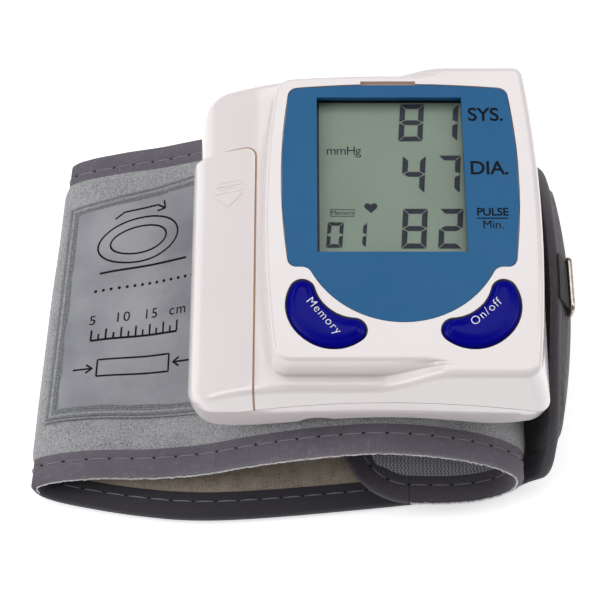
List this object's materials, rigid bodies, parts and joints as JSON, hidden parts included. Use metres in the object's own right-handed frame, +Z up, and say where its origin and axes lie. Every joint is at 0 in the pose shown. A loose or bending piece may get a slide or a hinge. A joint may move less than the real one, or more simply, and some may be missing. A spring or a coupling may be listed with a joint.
{
  "type": "wrist blood pressure monitor",
  "caption": "Wrist blood pressure monitor: plastic case with a display window and curved keys, on a fabric cuff folded beneath it.",
  "frame": {"origin": "bottom centre of the box round the whole part, on the table under the folded cuff", "axes": "+X to the right of the display, +Y away from the user, +Z up out of the display"},
  "size_m": [0.1198, 0.0882, 0.0529],
  "materials": {
    "shell_plastic": "glossy moulded, pinkish white",
    "bezel_plastic": "printed film, satin blue",
    "key_plastic": "glossy dark blue",
    "clear_plastic": "clear lens",
    "display_glass": "grey-green liquid crystal cell",
    "dark_plastic": "matt",
    "board_laminate": "solder mask",
    "rubber": "soft, pale grey",
    "steel": "plated",
    "nickel": "polished nickel",
    "cell_jacket": "printed sleeve",
    "velour": "grey brushed loop velour",
    "knit": "light grey mesh knit",
    "fleece": "olive fleece",
    "twill": "purple-grey twill tape, stitched",
    "patch_film": "printed soft film",
    "tape_black": "smooth woven tape"
  },
  "bodies": {
    "monitor": {"front_case": "shell_plastic", "rear_case": "shell_plastic", "display_panel": "bezel_plastic", "display_window": "clear_plastic", "lcd_frame": "dark_plastic", "lcd_glass": "display_glass", "zebra_strip_left": "rubber", "zebra_strip_right": "rubber", "main_board": "board_laminate", "memory_switch": "dark_plastic", "power_switch": "dark_plastic", "main_chip": "dark_plastic", "pressure_sensor": "dark_plastic", "buzzer": "dark_plastic", "cell_outer": "cell_jacket", "cell_inner": "cell_jacket", "contact_bridge": "steel", "contact_positive": "steel", "contact_negative": "steel", "spring_outer": "steel", "spring_inner": "steel", "pump_motor": "steel", "pump_head": "dark_plastic", "release_valve": "steel", "air_manifold": "dark_plastic", "pump_tube": "rubber", "valve_tube": "rubber", "air_nipple": "dark_plastic", "case_screw_1": "steel", "case_screw_2": "steel", "case_screw_3": "steel", "case_screw_4": "steel", "cuff_plate": "shell_plastic", "cuff_outer": "velour", "knit_lining": "knit", "fleece_lining": "fleece", "bladder": "rubber", "edge_binding": "twill", "label_patch": "patch_film", "ring_tape": "tape_black"},
    "battery_cover": {"battery_cover": "shell_plastic"},
    "memory_key": {"memory_button": "key_plastic", "memory_plunger": "rubber"},
    "power_key": {"power_button": "key_plastic", "power_plunger": "rubber"},
    "ring": {"closing_ring": "nickel"}
  },
  "joints": [
    {"name": "cover_slide", "type": "slide", "parent": "monitor", "child": "battery_cover", "axis": [0, -1, 0], "range_m": [0, 0.06]},
    {"name": "memory_press", "type": "slide", "parent": "monitor", "child": "memory_key", "axis": [0, 0, -1], "range_m": [0, 0.0008], "stiffness_N_per_m": 800, "springref_m": -0.0005},
    {"name": "power_press", "type": "slide", "parent": "monitor", "child": "power_key", "axis": [0, 0, -1], "range_m": [0, 0.0008], "stiffness_N_per_m": 800, "springref_m": -0.0005},
    {"name": "ring_hinge", "type": "hinge", "parent": "monitor", "child": "ring", "pos_m": [0.05834, -0.00036, 0.03111], "axis": [0, -1, 0], "range_deg": [0, 100]}
  ]
}
